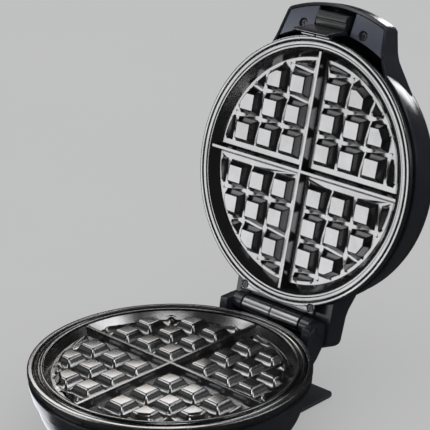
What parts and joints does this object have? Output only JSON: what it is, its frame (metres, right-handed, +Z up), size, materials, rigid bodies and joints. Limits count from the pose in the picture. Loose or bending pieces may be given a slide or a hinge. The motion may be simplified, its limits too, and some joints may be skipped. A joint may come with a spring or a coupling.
{
  "type": "waffle maker",
  "caption": "Round waffle maker standing open: deep-pocket grid plates in base and lid, rear hinge, front handle with a sprung latch.",
  "frame": {"origin": "centre of the round base on the surface it stands on", "axes": "+Z up, -Y towards the handle and latch, +Y towards the hinge, +X to the right seen from the handle"},
  "size_m": [0.2, 0.2987, 0.2793],
  "materials": {
    "black_plastic": "glossy moulded, faint grain",
    "nonstick": "smooth dark non-stick coating",
    "ring_coat": "smooth dark non-stick coating",
    "face_satin": "satin",
    "lever_plastic": "satin, ridged",
    "tail_plastic": "satin",
    "hook_steel": "dark plated",
    "zinc_steel": "zinc plated",
    "screw_steel": "black oxide",
    "pin_steel": "ground",
    "element_sheath": "heat-dulled sheath",
    "rubber": "matt",
    "ceramic": "glazed ceramic look",
    "brass": "plated",
    "nylon": "natural nylon",
    "gland_rubber": "matt",
    "lead_sleeve": "woven glass sleeve",
    "board": "lacquered",
    "red_lens": "clear red",
    "green_lens": "clear green"
  },
  "bodies": {
    "base": {"base_housing": "black_plastic", "base_bezel": "ring_coat", "base_grid_plate": "nonstick", "base_plate_screws": "screw_steel", "base_heating_element": "element_sheath", "base_element_clips": "zinc_steel", "base_heat_reflector": "zinc_steel", "base_cover": "black_plastic", "base_cover_screws": "screw_steel", "foot_ring": "rubber", "tail_foot": "tail_plastic", "tail_foot_screws": "screw_steel", "tail_pads": "rubber", "thermostat": "ceramic", "thermal_fuse": "brass", "terminal_block": "nylon", "terminal_screws": "brass", "cord_gland": "gland_rubber", "base_wiring": "lead_sleeve", "latch_keeper": "hook_steel", "hinge_pins": "pin_steel", "hinge_pin_caps": "black_plastic"},
    "lid": {"lid_shell": "black_plastic", "lid_frame": "black_plastic", "lid_bezel": "ring_coat", "hinge_barrel": "hook_steel", "hinge_flange_screws": "screw_steel", "lid_grid_plate": "nonstick", "lid_plate_screws": "screw_steel", "lid_heating_element": "element_sheath", "lid_element_clips": "zinc_steel", "lid_heat_reflector": "zinc_steel", "handle_face": "face_satin", "handle_screws": "screw_steel", "lamp_board": "board", "power_lens": "red_lens", "ready_lens": "green_lens", "lid_wiring": "lead_sleeve", "latch_pin": "pin_steel", "latch_spring": "pin_steel"},
    "latch": {"latch_lever": "lever_plastic", "latch_hook": "hook_steel", "latch_hook_rivets": "screw_steel"}
  },
  "joints": [
    {"name": "lid_hinge", "type": "hinge", "parent": "base", "child": "lid", "pos_m": [0, 0.1084, 0.0561], "axis": [1, 0, 0], "range_deg": [0, 103.5]},
    {"name": "latch_pivot", "type": "hinge", "parent": "lid", "child": "latch", "pos_m": [0, 0.17607, 0.26343], "axis": [-1, 0, 0], "range_deg": [0, 8], "stiffness_Nm_per_rad": 0.15, "springref_deg": -5.73}
  ]
}
